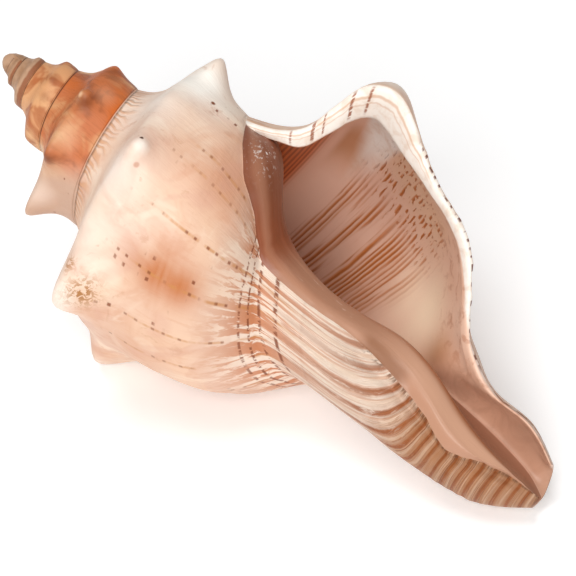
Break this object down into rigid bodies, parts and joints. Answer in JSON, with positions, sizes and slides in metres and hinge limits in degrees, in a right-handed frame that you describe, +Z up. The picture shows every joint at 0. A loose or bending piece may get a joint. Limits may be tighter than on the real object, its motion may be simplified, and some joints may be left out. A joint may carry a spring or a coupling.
{
  "type": "conch shell",
  "caption": "Large spiral sea shell with a knobbed shoulder, a tall spire, a wide flared opening and a long open canal, lying on its back.",
  "frame": {"origin": "middle of the shell's outline on the surface it lies on", "axes": "+Z up, +X from the spire towards the canal, opening up and towards -Y"},
  "size_m": [0.142, 0.0864, 0.0698],
  "materials": {
    "shell": "natural shell, satin outside and glossy inside the opening"
  },
  "bodies": {
    "root": {"shell": "shell"}
  },
  "joints": []
}
